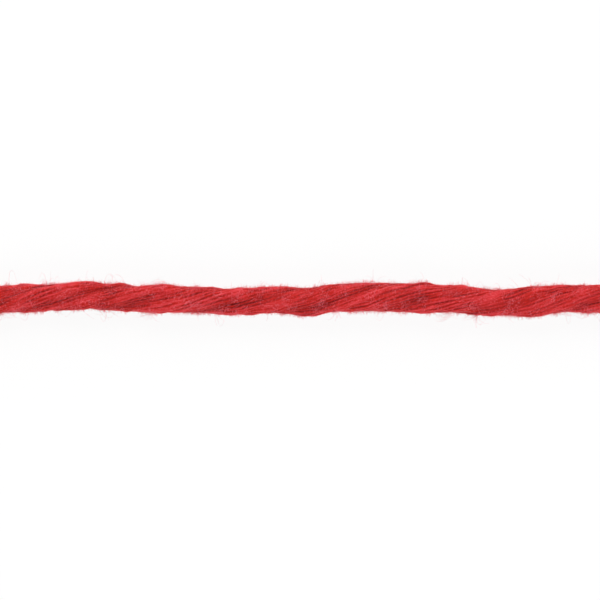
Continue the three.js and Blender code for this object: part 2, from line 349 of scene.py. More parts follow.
def squeezed(v, radius, places):
    # in the clamp, under the strap and in its whipping the rope is pressed round and narrower
    x = wayAlongX(places)
    past = {  # how far outside each pressed stretch
        "strapped": np.abs(x - waistX) - route["strapWidth"] / 2,
        "clamped": np.abs(x - clampMouth + route["clampLength"] / 2) - route["clampLength"] / 2,
        "whipped": wholePlaces[-1] - places - route["whippingLength"],
        "bent": x - clampMouth + route["clampLength"] + route["loopReach"] - 0.004,
    }
    for key, far in past.items():
        pressed, fade = v[key]
        tight = (1 - smoothStep(far / fade))[:, None]
        radius = radius * (1 - tight) + (pressed + v["keepsShape"] * (radius - ropeRadius)) * tight
    return radius


def ropeSurface(v, places, angles):
    # angles are counted in the rope's own turning frame, so a yarn keeps its angle
    place, angle = np.meshgrid(places, angles, indexing="ij")

    def uneven(key, around=angle):
        much, seed, cell, cellsAround = v[key]
        return much * softNoise(place, around, seed, cell, cellsAround)

    wander = uneven("wander") + uneven("waver")
    drift = uneven("drift", angle * 0)
    between = (1 + np.cos((angle + drift) * v["strands"])) / 2  # 1 between two strands, 0 on top of one
    groove = between ** 3 * (0.55 + uneven("grooveChange"))
    gaps = 0.5 + 0.5 * np.cos((angle + wander) * v["yarns"])
    gaps = gaps ** 1.6 * np.clip(0.72 + uneven("gapChange"), 0.2, 1)
    radius = ropeRadius + v["crown"] - v["lobeDepth"] * between - v["grooveDepth"] * groove
    radius = radius - v["yarnHeight"] * gaps + uneven("bumps") + uneven("swellings") + uneven("lumps")
    # painted shade: the gaps between yarns and the grooves between strands are darkened in colour, with
    # patchy darkening added
    gapShade = 0.85 * gaps + 0.5 * groove + uneven("patchyDarkening")
    return squeezed(v, radius, places), gapShade


def turningFrames(centres):
    # frames that don't spin as they follow the line
    tangents = np.gradient(centres, axis=0)
    tangents /= np.linalg.norm(tangents, axis=1)[:, None]
    side = np.cross([0, 0, 1], tangents[0])
    side /= np.linalg.norm(side)
    sides = []
    for tangent in tangents:
        side = side - tangent * np.dot(side, tangent)
        side = side / np.linalg.norm(side)
        sides.append(side)
    sides = np.array(sides)
    return sides, np.cross(tangents, sides)


def ringPlaces(v):
    seen = [loopEnd + route["mouthInset"] + far for far in v["seenRun"]]
    places = [0.0]
    while places[-1] < wholePlaces[-1]:
        step = v["seenStep"] if seen[0] < places[-1] < seen[1] else v["hiddenStep"]
        places.append(places[-1] + step)
    places[-1] = wholePlaces[-1]
    return np.array(places)


places = ringPlaces(lay)
angles = np.arange(lay["around"]) * math.tau / lay["around"]
centres = pointsAt(places, wholePlaces, wholeLine)
sideways, upward = turningFrames(centres)
radii, gapShades = ropeSurface(lay, places, angles)


def onSurface(place, angle, lift):
    # the point lift above the surface, at any place along the rope and angle in its turning frame
    i = np.interp(place, places, np.arange(len(places)))
    low = np.clip(np.floor(i).astype(int), 0, len(places) - 2)
    part = (i - low)[..., None]
    j = (angle / math.tau * lay["around"]) % lay["around"]
    column = np.floor(j).astype(int) % lay["around"]
    beside = (column + 1) % lay["around"]
    share = j - np.floor(j)
    ring, nextRing = [radii[k, column] * (1 - share) + radii[k, beside] * share for k in (low, low + 1)]
    radius = ring * (1 - part[..., 0]) + nextRing * part[..., 0]
    centre, a, b = [each[low] * (1 - part) + each[low + 1] * part for each in (centres, sideways, upward)]
    turned = angle - math.tau * place / lay["layLength"]
    out = a * np.cos(turned)[..., None] + b * np.sin(turned)[..., None]
    point = centre + out * (radius + lift)[..., None]
    point[..., 2] = np.maximum(point[..., 2], 0.0002)
    return point


def ropeMesh(name, first, last, material):
    rings = np.arange(first, last)
    place, angle = np.meshgrid(places[rings], angles, indexing="ij")
    points = onSurface(place, angle, np.zeros_like(place)).reshape(-1, 3)
    piece = meshPiece(name, points.tolist(), ringFaces(len(rings), lay["around"]), material)
    onYarn = np.stack([np.cos(angle) * ropeRadius, np.sin(angle) * ropeRadius, place], axis=-1)
    setAttribute(piece, "yarnPlace", "FLOAT_VECTOR", onYarn)
    # the painted shade mask, high in the gaps and grooves
    setAttribute(piece, "gapShade", "FLOAT", np.clip(gapShades[rings], 0, 2))
    return piece


# Cotton rope: spun yarn dyed red, matt, with painted shade darkening the gaps between the yarns
# and the grooves between the strands, a mottle 1.4 mm wide, and a paler, pinker bloom, in patches
# 6 mm wide and 18 mm long, where loose fibre catches the light.
ropeColours = {
    "gap": "#7f1919",
    "yarn": "#c92822",
    "bloom": "#dc444a",
    "sheen": "#ffcad2",
    "fibreLength": 0.007,  # streaks run this far along a yarn
    "fibreWidth": 0.0007,
    "patchScale": (120, 120, 42),  # darker and lighter at random, in patches 8 mm wide and 24 mm long
    "patchSpread": 0.55,
    "looseFibre": ("#e64550", "#ff929f"),
    "lyingFibre": ("#c82420", "#dc4850"),
}


def cottonRope(v):
    material, tree, shader, at = newMaterial("spunCottonRope", "yarnPlace")
    gapShade = addNode(tree, "Attribute", {"attribute_name": "gapShade"}).outputs["Fac"]
    stretch = addNode(tree, "Mapping", values={
        "Scale": (1 / v["fibreWidth"], 1 / v["fibreWidth"], 1 / v["fibreLength"])}, links={"Vector": at})
    streaks = addNode(tree, "TexNoise", values={"Scale": 1.0, "Detail": 3.0, "Roughness": 0.6},
                      links={"Vector": stretch})
    patches = addNode(tree, "Mapping", values={"Scale": (160, 160, 55)}, links={"Vector": at})
    bloom = addNode(tree, "TexNoise", values={"Scale": 1.0, "Detail": 4.0}, links={"Vector": patches})
    # painted shade: the colour darkens towards the gap colour where the mask is high
    gapShading = addNode(tree, "Math", {"operation": "MULTIPLY_ADD"},
                   values={1: -0.62, 2: 0.42}, links={0: gapShade})
    mottle = addNode(tree, "TexNoise", values={"Scale": 700.0, "Detail": 2.0}, links={"Vector": at})
    uneven = addNode(tree, "Math", {"operation": "MULTIPLY_ADD"}, {1: 0.45, 2: -0.22}, {0: mottle})
    broad = addNode(tree, "Mapping", values={"Scale": v["patchScale"]}, links={"Vector": at})
    patchNoise = addNode(tree, "TexNoise", values={"Scale": 1.0, "Detail": 1.0}, links={"Vector": broad})
    patchTone = addNode(tree, "Math", {"operation": "MULTIPLY_ADD"},
                   {1: v["patchSpread"], 2: -v["patchSpread"] / 2}, {0: patchNoise})
    strand = addNode(tree, "Math", {"operation": "ADD"}, links={0: gapShading, 1: streaks})
    mottled = addNode(tree, "Math", {"operation": "ADD"}, links={0: strand, 1: uneven})
    tone = addNode(tree, "Math", {"operation": "ADD"}, links={0: mottled, 1: patchTone})
    ramp = addNode(tree, "ValToRGB", links={"Fac": tone}, stops=(
        (0.30, v["gap"]), (0.80, v["yarn"]), (1.0, v["bloom"])))
    fleck = addNode(tree, "MapRange", values={"From Min": 0.48, "From Max": 0.78, "To Max": 0.35},
                    links={"Value": bloom})
    colour = addNode(tree, "Mix", {"data_type": "RGBA"}, {7: toLinear(v["bloom"])}, {0: fleck, 6: ramp})
    bump = addNode(tree, "Bump", values={"Strength": 0.6, "Distance": 0.0004},
                   links={"Height": streaks})
    setInputs(tree, shader, {
        "Roughness": 0.92, "Specular IOR Level": 0.12, "Diffuse Roughness": 1.0,
        "Sheen Weight": 1.0, "Sheen Roughness": 0.3, "Sheen Tint": toLinear(v["sheen"])}, {
        "Base Color": colour.outputs[2], "Normal": bump})
    return material


def cottonFibre(name, deepColour, paleColour):
    # single cotton fibres, dyed right through: matt, paler where they are worn, in 8 mm patches
    material, tree, shader, at = newMaterial(name)
    noise = addNode(tree, "TexNoise", values={"Scale": 130.0}, links={"Vector": at})
    ramp = addNode(tree, "ValToRGB", links={"Fac": noise}, stops=((0.3, deepColour), (0.7, paleColour)))
    setInputs(tree, shader, {
        "Roughness": 0.85, "Specular IOR Level": 0.12, "Sheen Weight": 0.3,
        "Sheen Tint": toLinear(paleColour)}, {"Base Color": ramp})
    return material


ropeMaterial = cottonRope(ropeColours)
fibreMaterial = cottonFibre("looseCottonFibre", *ropeColours["looseFibre"])
lyingMaterial = cottonFibre("lyingCottonFibre", *ropeColours["lyingFibre"])
cut = int(np.searchsorted(places, loopEnd))
rope = ropeMesh("rope", cut, len(places), ropeMaterial)
eyeLoop = ropeMesh("ropeEyeLoop", 0, cut + 1, ropeMaterial)
declare(rope, "rope", "cotton_rope", "rope_run", "rope_hank", "rope_tail")
declare(eyeLoop, "rope", "cotton_rope", "rope_eye_loop")
print("rope modelled: %d faces" % (len(rope.data.polygons) + len(eyeLoop.data.polygons)))


fuzz = {
    "lyingPerMetre": 4200,
    "standingPerMetre": 60000,
    "strayPerMetre": 1900,
    "hiddenShare": 0.32,  # how many of them the hanked part has
    "lyingLength": (0.005, 0.016),
    # shortest and longest, least and most that it stands up, furthest bend, points along it
    "standing": (0.0005, 0.0022, 0.65, 1.0, 0.62, 3),
    "stray": (0.003, 0.009, 0.2, 0.8, 0.95, 6),
    "tufted": 0.5,
    "tuftSize": 14,
    "tuftSpread": (0.0012, 0.13),  # along the rope, and round it in radians
    "fullRun": (0.44, 0.12),  # this far past the clamp none are left out, and how far the change takes
    "endMargin": 0.004,
    "patchiness": 0.9,  # longer fuzz in patches, shorter between them
    # drawn coarser than real fibre, which is too fine to show
    "thickness": {"lyingFibre": 0.00013, "standingFibre": 0.00015, "strayFibre": 0.00012},
    "mostFaces": 190000,  # in one piece
}


def fibreMesh(name, lines, thickness, material, sides=3, endTaper=0.75):
    # many tapered fibres in one mesh: lines is fibres x points x 3
    count, steps, _ = lines.shape
    tangents = np.gradient(lines, axis=1)
    tangents /= np.linalg.norm(tangents, axis=2)[..., None] + 1e-12
    helper = np.where(np.abs(tangents[..., 2:3]) < 0.8, [[[0.0, 0.0, 1.0]]], [[[1.0, 0.0, 0.0]]])
    a = np.cross(tangents, helper)
    a /= np.linalg.norm(a, axis=2)[..., None]
    b = np.cross(tangents, a)
    taper = (1 - endTaper * np.linspace(0, 1, steps) ** 2)[None, :, None]
    ring = [lines + thickness / 2 * taper * (math.cos(t) * a + math.sin(t) * b)
            for t in np.arange(sides) * math.tau / sides]
    points = np.stack(ring, axis=2)
    points[..., 2] = np.maximum(points[..., 2], 0.0001)
    index = np.arange(count * steps * sides).reshape(count, steps, sides)
    quads = []
    for k in range(sides):
        here, beside = index[..., k], index[..., (k + 1) % sides]
        quad = np.stack([here[:, :-1], beside[:, :-1], beside[:, 1:], here[:, 1:]], axis=-1)
        quads += quad.reshape(-1, 4).tolist()
    ends = np.concatenate([index[:, 0, ::-1], index[:, -1, :]])
    return meshPiece(name, points.reshape(-1, 3).tolist(), quads + ends.tolist(), material)


def allowed(place):
    # no loose fibre inside the clamp, under the strap or in the whipping
    x = wayAlongX(place)
    clear = 0.001
    bare = (np.abs(x - waistX) < route["strapWidth"] / 2 + clear) & (place > loopEnd + route["plainRun"])
    bare |= (x < clampMouth + clear) & (x > clampMouth - route["clampLength"] - clear)
    bare |= place > wholePlaces[-1] - route["whippingLength"] - clear
    return ~bare


def seeds(v, key, seed, tufted):
    # a share of the fibres stands in small tufts, the rest anywhere
    rng = np.random.default_rng(seed)
    count = int(v[key] * wholePlaces[-1])
    place = rng.uniform(v["endMargin"], wholePlaces[-1] - v["endMargin"], count)
    angle = rng.uniform(0, math.tau, count)
    tufts = rng.integers(0, count, count) // v["tuftSize"]
    drawn = rng.uniform(0, 1, count) < tufted
    place[drawn] = place[tufts[drawn]] + rng.normal(0, v["tuftSpread"][0], drawn.sum())
    angle[drawn] = angle[tufts[drawn]] + rng.normal(0, v["tuftSpread"][1], drawn.sum())
    past = np.maximum(loopEnd - place, place - loopEnd - v["fullRun"][0]) / v["fullRun"][1]
    share = 1 - (1 - v["hiddenShare"]) * smoothStep(past)
    keep = allowed(place) & (rng.uniform(0, 1, count) < share)
    if key == "strayPerMetre":  # none by the swivel eye
        keep &= wayAlongX(place) > clampMouth - route["clampLength"] - 0.012
    return rng, place[keep], angle[keep]


def lyingFibres(v, seed):
    rng, place, angle = seeds(v, "lyingPerMetre", seed, 0.0)
    n = (len(place), 1)
    t = np.linspace(0, 1, 7)[None, :]
    length = rng.uniform(*v["lyingLength"], n)
    slant = rng.normal(0.1, 0.35, n)
    along = place[:, None] + length * (t - 0.5)
    wave = 0.03 * np.sin(math.tau * (t * rng.uniform(0.4, 1.4, n) + rng.uniform(0, 1, n)))
    around = angle[:, None] + slant * length / ropeRadius * (t - 0.5) + wave
    lift = rng.uniform(-0.00005, 0.00022, n) + 0.0001 * (2 * t - 1) ** 4
    return onSurface(along, around, lift + np.zeros_like(along))


def standingFibres(v, key, seed, shortest, longest, low, high, droop, steps):
    rng, place, angle = seeds(v, key, seed, v["tufted"])
    n = (len(place), 1)
    t = np.linspace(0, 1, steps)[None, :]
    woolly = smoothStep(0.5 + v["patchiness"] * softNoise(place, angle, 24, 0.006, 10))[:, None]
    length = rng.uniform(shortest, longest, n) * (0.5 + 1.1 * woolly)
    height = length * rng.uniform(low, high, n)
    bend = rng.uniform(0.25, droop, n)
    lift = height * np.sin(math.pi * t * bend) / np.sin(math.pi * np.minimum(bend, 0.5)) - 0.0001
    heading = rng.uniform(0, math.tau, n)
    flat = np.sqrt(np.maximum(length ** 2 - height ** 2, 0))
    along = place[:, None] + flat * t ** 1.4 * np.cos(heading)
    around = angle[:, None] + flat * t ** 1.4 * np.sin(heading) / ropeRadius
    return onSurface(along, around, lift)


def addFuzz(v):
    pieces = []
    lines = {
        "lyingFibre": lyingFibres(v, 21),
        "standingFibre": standingFibres(v, "standingPerMetre", 22, *v["standing"]),
        "strayFibre": standingFibres(v, "strayPerMetre", 23, *v["stray"]),
    }
    for name, every in lines.items():
        most = v["mostFaces"] // (6 * (every.shape[1] - 1) + 2)
        material = lyingMaterial if name == "lyingFibre" else fibreMaterial
        for k in range(0, len(every), most):
            piece = fibreMesh(
                "%s_%d" % (name, k // most + 1), every[k:k + most], v["thickness"][name], material)
            pieces.append(declare(piece, "rope", "cotton_rope"))
    return pieces


fuzzPieces = addFuzz(fuzz)
print("fuzz: %d pieces" % len(fuzzPieces))


ends = {
    "rings": ((0.0077, 24), (0.0054, 17), (0.0031, 10), (0.0010, 3)),  # yarns seen on the cut
    "yarn": 0.0021,
    "splay": 0.0006,
    "hairs": 900,
    "hairThickness": 0.00012,
    "deepColour": "#9c1e20",
    "paleColour": "#cf4148",
}


def cutYarn(v):
    # soft twisted yarn: fibres 4 mm long and 0.6 mm wide lie along it, drawn coarser than
    # real ones so that they show, and it is paler where the cut has opened it
    material, tree, shader, at = newMaterial("cutCottonYarn")
    stretch = addNode(tree, "Mapping", values={"Scale": (260, 1700, 1700)}, links={"Vector": at})
    fibres = addNode(tree, "TexNoise", values={"Scale": 1.0, "Detail": 3.0}, links={"Vector": stretch})
    ramp = addNode(tree, "ValToRGB", links={"Fac": fibres}, stops=(
        (0.3, v["deepColour"]), (0.68, v["paleColour"])))
    bump = addNode(tree, "Bump", values={"Strength": 0.7, "Distance": 0.0003}, links={"Height": fibres})
    setInputs(tree, shader, {"Roughness": 0.92, "Specular IOR Level": 0.25, "Sheen Weight": 0.4}, {
        "Base Color": ramp, "Normal": bump})
    return material


yarnMaterial = cutYarn(ends)


def cutEnd(v, name, end, way, length, inside, seed, spread):
    # yarns that stand out of the rope's end: end is the last full section, way is +1 or -1 along X
    rng = np.random.default_rng(seed)
    t = np.linspace(0, 1, 8)
    lines = []
    tips = []
    for radius, count in v["rings"]:
        for k in range(count):
            angle = math.tau * (k + rng.uniform(-0.15, 0.15)) / count
            reach = length * rng.uniform(0.86, 1.0)
            out = radius + spread * t ** 2 * (0.4 + radius / 0.0077) + rng.normal(0, v["splay"]) * t ** 2
            turn = angle + rng.normal(0, 0.10) * t + 0.25 * t * way
            x = end[0] + way * (-inside + (inside + reach) * t)
            line = np.column_stack([x, end[1] + out * np.cos(turn), end[2] + out * np.sin(turn)])
            lines.append(line)
            tips.append(line[-1])
    yarns = fibreMesh(name, np.array(lines), v["yarn"], yarnMaterial, sides=9, endTaper=0.12)
    tips = np.array(tips)[rng.integers(0, len(tips), v["hairs"])]
    tips = tips + rng.normal(0, 0.0005, tips.shape)
    tips[:, 0] = end[0] + way * np.minimum(way * (tips[:, 0] - end[0]), length)
    t = np.linspace(0, 1, 4)[None, :, None]
    heading = np.column_stack([
        way * rng.uniform(0.4, 1.0, len(tips)),
        rng.normal(0, 0.5, len(tips)), rng.normal(0, 0.5, len(tips))])
    hairLength = rng.uniform(0.0008, 0.0026, (len(tips), 1, 1))
    curl = rng.normal(0, 0.0004, (len(tips), 1, 3)) * t ** 2
    start = (tips - heading * 0.0008)[:, None, :]
    lines = start + heading[:, None, :] * hairLength * t + curl
    hairs = fibreMesh(name + "Hairs", lines, v["hairThickness"], fibreMaterial)
    return [declare(yarns, "rope", "cotton_rope"), declare(hairs, "rope", "cotton_rope")]


tuftPieces = cutEnd(
    ends, "tuft", wholeLine[-1], -1, route["tuftLength"] - 0.0012, 0.004, 31, 0.0002)
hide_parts("rope_tail")
cutEnd(ends, "shortEnd", wholeLine[0], 1, 0.0022, 0.003, 32, 0.0)


whipping = {
    "pitch": 0.00140,  # one turn of twine beside the next
    "coreRadius": 0.00866,
    "twine": 0.00070,
    "inner": 0.0078,
    "around": 72,
    "stepsPerTurn": 8,
    "colour": "#e6dcc6",
    "shade": "#a8977a",
}


def waxedTwine(v):
    # laid linen twine: waxed, so a little smoother than the rope, with its own twist of
    # strands 0.24 mm wide, and painted shade in the grooves between its turns
    material, tree, shader, at = newMaterial("waxedLinenTwine", "woundPlace")
    turned = addNode(tree, "Mapping", values={
        "Rotation": (0, 0, math.radians(50)), "Scale": (4200, 900, 1)}, links={"Vector": at})
    strands = addNode(tree, "TexNoise", values={"Scale": 1.0, "Detail": 2.0}, links={"Vector": turned})
    # painted shade: darker in the grooves between turns of twine
    between = addNode(tree, "Attribute", {"attribute_name": "twineGapShade"}).outputs["Fac"]
    mixed = addNode(tree, "Math", {"operation": "MULTIPLY_ADD"}, {1: -0.9}, {0: between, 2: strands})
    ramp = addNode(tree, "ValToRGB", links={"Fac": mixed}, stops=(
        (0.05, v["shade"]), (0.50, v["colour"])))
    bump = addNode(tree, "Bump", values={"Strength": 0.6, "Distance": 0.0002},
                   links={"Height": strands})
    setInputs(tree, shader, {"Roughness": 0.62}, {"Base Color": ramp, "Normal": bump})
    return material


def whippingPiece(v):
    low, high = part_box("end_whipping")
    centreY, centreZ = wholeLine[-1][1], wholeLine[-1][2]
    turns = int((high[0] - low[0]) / v["pitch"])
    x = np.linspace(low[0], high[0], turns * v["stepsPerTurn"] + 1)
    theta = np.arange(v["around"]) * math.tau / v["around"]
    along, angle = np.meshgrid(x, theta, indexing="ij")
    phase = ((along - low[0]) / v["pitch"] + angle / math.tau) % 1
    radius = v["coreRadius"] + v["twine"] * np.sqrt(np.clip(1 - (2 * phase - 1) ** 2, 0, 1)) ** 0.9
    radius[[0, -1]] = v["coreRadius"]
    outer = np.stack([along, centreY + radius * np.cos(angle), centreZ + radius * np.sin(angle)], axis=-1)
    inner = np.stack([along[[-1, 0]], centreY + v["inner"] * np.cos(angle[[-1, 0]]),
                      centreZ + v["inner"] * np.sin(angle[[-1, 0]])], axis=-1)
    points = np.concatenate([outer, inner]).reshape(-1, 3)
    rings = len(x) + 2
    faces = ringFaces(rings, v["around"], closed=True)
    piece = meshPiece("endWhipping", points.tolist(), faces, waxedTwine(v))
    wound = np.column_stack([
        points[:, 0], np.tile(theta, rings) * v["coreRadius"], np.zeros(len(points))])
    setAttribute(piece, "woundPlace", "FLOAT_VECTOR", wound)
    # painted shade mask: 1 in the grooves between turns, 0 on their crowns
    gaps = (1 - (radius - v["coreRadius"]) / v["twine"]).ravel()
    setAttribute(piece, "twineGapShade", "FLOAT", np.concatenate([gaps, np.ones(2 * v["around"])]) ** 2)
    return declare(piece, "rope", "whipping_twine", "end_whipping")


whippedEnd = whippingPiece(whipping)
print("rope ends and whipping modelled")


strap = {
    "width": 0.020,
    "thickness": 0.0015,
    "inside": 0.00865,  # from the middle of each corner rope
    "reach": 1.38,  # turns: the end laps over the side and the top
    "rib": 0.0014,
    "ribHeight": 0.00017,
    "step": 0.00035,
    "acrossSteps": 14,
    "colour": "#26282b",
    "wornColour": "#3d4045",
    "thread": "#5b5f66",
    "cornerCut": 0.004,  # the loose end's corners are rounded this much
    "lapStart": 0.009,  # before the lap the band begins to rise, in the length of lapRise
    "lapRise": 0.008,
    "lapGap": 0.0003,
    "stitch": 0.0026,
    "stitchGap": 0.0008,
    "stitchBox": (0.0145, 0.0035, 0.0032),  # its start and end from the loose end, in from the edges
    "threadThickness": 0.00055,
}


def strapShape(v):
    # the corner ropes' middles, and the straights and corners of the band round them
    half = ropeRadius - route["squeeze"]
    low, high = route["strapThickness"] + half, 4 * ropeRadius - half
    corner = math.pi / 2 * v["inside"]
    return half, low, high, 2 * (high - low, corner, 2 * half, corner)


def strapPlace(v, along, lift):
    # a point and outward way on the band's closed line, lift outside the ropes' corners
    half, low, high, parts = strapShape(v)
    along = (along + parts[0] / 2) % sum(parts)  # counted from the middle of the far side, going up
    for index, part in enumerate(parts):
        if along <= part:
            break
        along -= part
    share = along / part
    corners = ((half, low), (half, high), (-half, high), (-half, low), (half, low))
    side = index // 2
    if index % 2:
        turn = (side + share) * math.pi / 2
        middleY, middleZ = corners[side + 1]
    else:
        turn = side * math.pi / 2
        a, b = corners[side:side + 2]
        middleY, middleZ = a[0] + (b[0] - a[0]) * share, a[1] + (b[1] - a[1]) * share
    out = np.array([0, math.cos(turn), math.sin(turn)])
    return np.array([0, hankY + middleY, middleZ]) + out * (v["inside"] + lift), out


def webbing(v):
    # plain woven polyester band: threads 0.4 mm wide along it, a dull sheen, and grey
    # where it has rubbed, in 4.5 mm patches
    material, tree, shader, at = newMaterial("wovenPolyesterWebbing", "bandPlace")
    warp = addNode(tree, "Mapping", values={"Scale": (2400, 700, 700)}, links={"Vector": at})
    threads = addNode(tree, "TexNoise", values={"Scale": 1.0, "Detail": 2.0}, links={"Vector": warp})
    rubbed = addNode(tree, "TexNoise", values={"Scale": 220.0, "Detail": 4.0}, links={"Vector": at})
    both = addNode(tree, "Math", {"operation": "MULTIPLY"}, links={0: threads, 1: rubbed})
    ramp = addNode(tree, "ValToRGB", links={"Fac": both}, stops=(
        (0.15, v["colour"]), (0.42, v["wornColour"])))
    bump = addNode(tree, "Bump", values={"Strength": 0.5, "Distance": 0.0003},
                   links={"Height": threads})
    setInputs(tree, shader, {"Roughness": 0.7, "Specular IOR Level": 0.35, "Sheen Weight": 0.15}, {
        "Base Color": ramp, "Normal": bump})
    return material


def strapPiece(v):
    total = sum(strapShape(v)[3])
    along = np.arange(0, total * v["reach"], v["step"])
    columns = v["acrossSteps"]
    across = np.concatenate([np.linspace(-1, 1, columns), np.linspace(1, -1, columns)])
    upper = np.concatenate([np.ones(columns), -np.ones(columns)])
    points, bandPlaces = [], []
    cornerCut = v["cornerCut"]
    for run in along:
        lap = float(smoothStep((run - total + v["lapStart"]) / v["lapRise"]))
        fromTip = along[-1] - run
        half = v["width"] / 2
        if fromTip < cornerCut:
            half -= cornerCut - math.sqrt(cornerCut ** 2 - (cornerCut - fromTip) ** 2)
        lift = v["thickness"] / 2 + 0.0001 + lap * (v["thickness"] + v["lapGap"])
        middle, out = strapPlace(v, run, lift)
        for a, u in zip(across, upper):
            edge = abs(a) ** 8  # the woven edge is thinner
            rib = v["ribHeight"] * math.sin(math.tau * (run / v["rib"] + 1.5 * abs(a)))
            height = (v["thickness"] / 2 * (1 - 0.45 * edge) + rib * (1 - edge)) * u
            points.append(middle + out * height + np.array([waistX + a * half, 0, 0]))
            bandPlaces.append((a * half, run, u * 0.01))
    # the points go round the other way, so each face is turned over
    faces = [(face[0],) + face[:0:-1] for face in ringFaces(len(along), 2 * columns)]
    piece = meshPiece("hankStrap", [tuple(q) for q in points], faces, webbing(v))
    setAttribute(piece, "bandPlace", "FLOAT_VECTOR", bandPlaces)
    declare(piece, "rope", "strap_webbing", "hank_tie")
    return along[-1]


def sewingThread(v):
    # twisted nylon thread: a tight, slightly shiny line that is darker between its plies,
    # every 0.3 mm
    material, tree, shader, at = newMaterial("bondedNylonThread")
    twist = addNode(tree, "TexNoise", values={"Scale": 3200.0}, links={"Vector": at})
    ramp = addNode(tree, "ValToRGB", links={"Fac": twist}, stops=(
        (0.0, v["colour"]), (0.55, v["thread"])))
    setInputs(tree, shader, {"Roughness": 0.45}, {"Base Color": ramp})
    return material


def strapStitches(v, last):
    # a box with a cross in it, sewn through the lapped end
    lift = 2 * v["thickness"] + 0.0004
    fromEnd, toEnd, fromEdge = v["stitchBox"]
    boxStart, boxEnd, wide = last - fromEnd, last - toEnd, v["width"] / 2 - fromEdge
    corners = [(-wide, boxStart), (wide, boxStart), (wide, boxEnd), (-wide, boxEnd)]
    seams = [(corners[i], corners[(i + 1) % 4]) for i in range(4)]
    seams += [(corners[0], corners[2]), (corners[1], corners[3])]
    lines = []
    for a, b in seams:
        a, b = np.array(a), np.array(b)
        seam = np.linalg.norm(b - a)
        count = max(1, round(seam / (v["stitch"] + v["stitchGap"])))
        for k in range(count):
            line = []
            for t in np.linspace(0, 1, 6):
                share = (k + 0.12 + 0.76 * t) / count
                x, run = a + (b - a) * share
                dip = -0.00035 * (2 * t - 1) ** 4
                point, _ = strapPlace(v, run, lift + dip)
                line.append(point + np.array([waistX + x, 0, 0]))
            lines.append(line)
    piece = fibreMesh(
        "strapStitches", np.array(lines), v["threadThickness"], sewingThread(v), sides=8, endTaper=0.0)
    declare(piece, "rope", "strap_webbing")


strapStitches(strap, strapPiece(strap))
print("strap modelled")


metalColours = {
    "nickel": "#c0b9ad",
    "nickelRubbed": "#b5aea2",
    "zinc": "#c3c3bf",
    "zincBloom": "#a3a5a6",
    "spring": "#a9abad",
    "springOiled": "#77797d",
}


def nickelPlate(v):
    # bright nickel over a polished zinc casting: a warm mirror with wiping scratches 3 mm
    # long and 0.2 mm apart and faint ripples 2.4 mm wide, duller where fingers have rubbed
    # it, in 4 mm patches
    material, tree, shader, at = newMaterial("brightNickelPlate")
    wiped = addNode(tree, "Mapping", values={
        "Rotation": (0.3, 0.5, 0.7), "Scale": (300, 5200, 5200)}, links={"Vector": at})
    scratches = addNode(tree, "TexNoise", values={"Scale": 1.0, "Detail": 4.0}, links={"Vector": wiped})
    smudges = addNode(tree, "TexNoise", values={"Scale": 240.0, "Detail": 4.0}, links={"Vector": at})
    ripples = addNode(tree, "TexNoise", values={"Scale": 420.0, "Detail": 1.0}, links={"Vector": at})
    dull = addNode(tree, "Math", {"operation": "MULTIPLY"}, links={0: scratches, 1: smudges})
    rough = addNode(tree, "MapRange", values={
        "From Min": 0.12, "From Max": 0.42, "To Min": 0.14, "To Max": 0.36}, links={"Value": dull})
    ramp = addNode(tree, "ValToRGB", links={"Fac": smudges}, stops=(
        (0.35, v["nickelRubbed"]), (0.65, v["nickel"])))
    bump = addNode(tree, "Bump", values={"Strength": 0.12, "Distance": 0.0002},
                   links={"Height": ripples})
    setInputs(tree, shader, {"Metallic": 1.0}, {"Base Color": ramp, "Roughness": rough, "Normal": bump})
    return material


def zincSheet(v):
    # rolled sheet steel, zinc plated and crimped cold: rolling lines 0.2 mm apart along
    # the band, and a bluish grey bloom, scuffed bright, in 9 mm patches
    material, tree, shader, at = newMaterial("rolledZincPlatedSteel")
    rolled = addNode(tree, "Mapping", values={"Scale": (4800, 240, 240)}, links={"Vector": at})
    lines = addNode(tree, "TexNoise", values={"Scale": 1.0, "Detail": 3.0}, links={"Vector": rolled})
    bloom = addNode(tree, "TexNoise", values={"Scale": 110.0, "Detail": 5.0}, links={"Vector": at})
    ramp = addNode(tree, "ValToRGB", links={"Fac": bloom}, stops=(
        (0.35, v["zincBloom"]), (0.68, v["zinc"])))
    rough = addNode(tree, "MapRange", values={
        "From Min": 0.3, "From Max": 0.7, "To Min": 0.24, "To Max": 0.46}, links={"Value": lines})
    bump = addNode(tree, "Bump", values={"Strength": 0.25, "Distance": 0.0001}, links={"Height": lines})
    setInputs(tree, shader, {"Metallic": 1.0}, {"Base Color": ramp, "Roughness": rough, "Normal": bump})
    return material


def springWire(v):
    # drawn spring steel: dark, under a film of oil that is uneven every 1 mm
    material, tree, shader, at = newMaterial("drawnSpringSteel")
    film = addNode(tree, "TexNoise", values={"Scale": 900.0, "Detail": 2.0}, links={"Vector": at})
    ramp = addNode(tree, "ValToRGB", links={"Fac": film}, stops=(
        (0.0, v["springOiled"]), (1.0, v["spring"])))
    setInputs(tree, shader, {"Metallic": 1.0, "Roughness": 0.3}, {"Base Color": ramp})
    return material


nickel = nickelPlate(metalColours)
zinc = zincSheet(metalColours)
spring = springWire(metalColours)


def clearSelection():
    if bpy.context.mode != "OBJECT":
        bpy.ops.object.mode_set(mode="OBJECT")
    bpy.ops.object.select_all(action="DESELECT")


def selectOnly(*pieces):
    clearSelection()
    for piece in pieces:
        piece.select_set(True)
    bpy.context.view_layer.objects.active = pieces[0]


def placeApplied():
    bpy.ops.object.transform_apply(location=True, rotation=True, scale=True)
    return bpy.context.active_object


